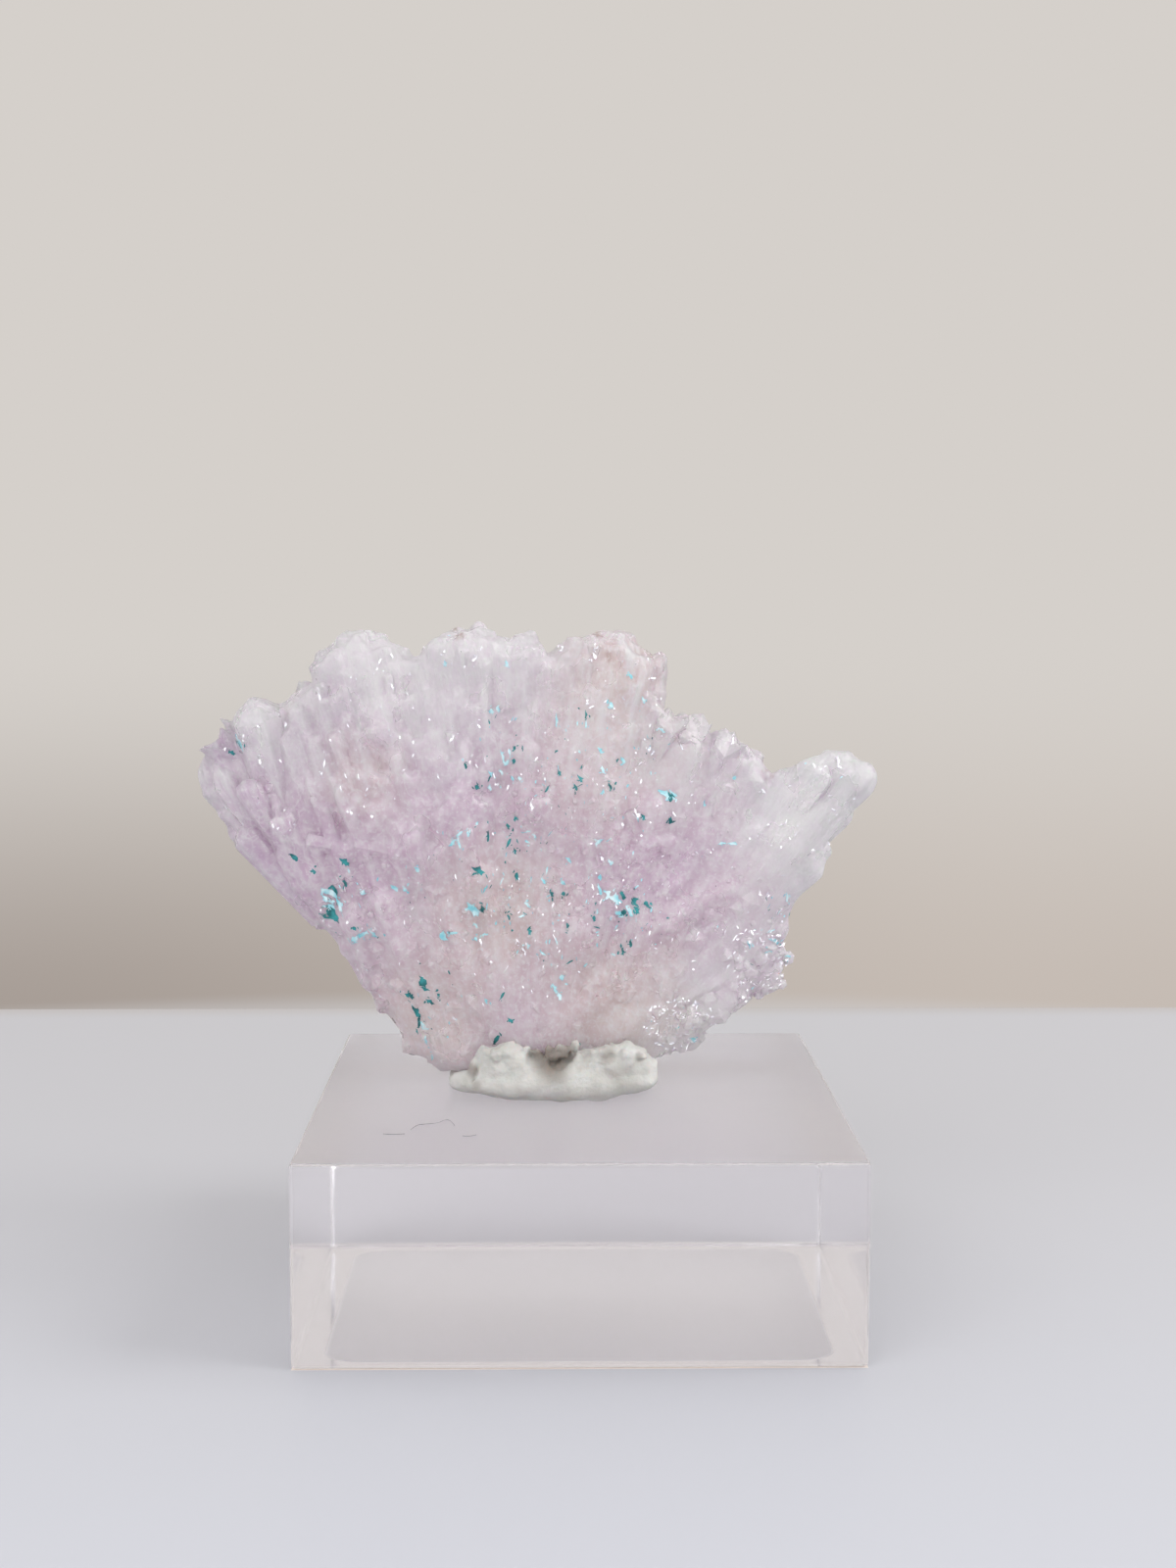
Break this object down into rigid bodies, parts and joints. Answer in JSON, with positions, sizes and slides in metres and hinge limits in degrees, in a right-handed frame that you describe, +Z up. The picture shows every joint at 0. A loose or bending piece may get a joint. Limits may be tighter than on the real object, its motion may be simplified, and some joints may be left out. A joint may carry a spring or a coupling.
{
  "type": "amethyst crystal cluster on a clear block",
  "caption": "Fan-shaped pale amethyst cluster with teal flecks, its foot pressed into white putty on a clear acrylic display block.",
  "frame": {"origin": "middle of the block's underside", "axes": "+Z up, +Y away from the viewer, so the cluster's broad front looks along -Y"},
  "size_m": [0.093, 0.07, 0.0892],
  "materials": {
    "amethyst": "milky, translucent, with glassy facets",
    "putty": "matt off-white",
    "clear_acrylic": "polished, clear"
  },
  "bodies": {
    "root": {"amethyst_cluster": "amethyst", "mounting_putty": "putty", "acrylic_block": "clear_acrylic"}
  },
  "joints": []
}
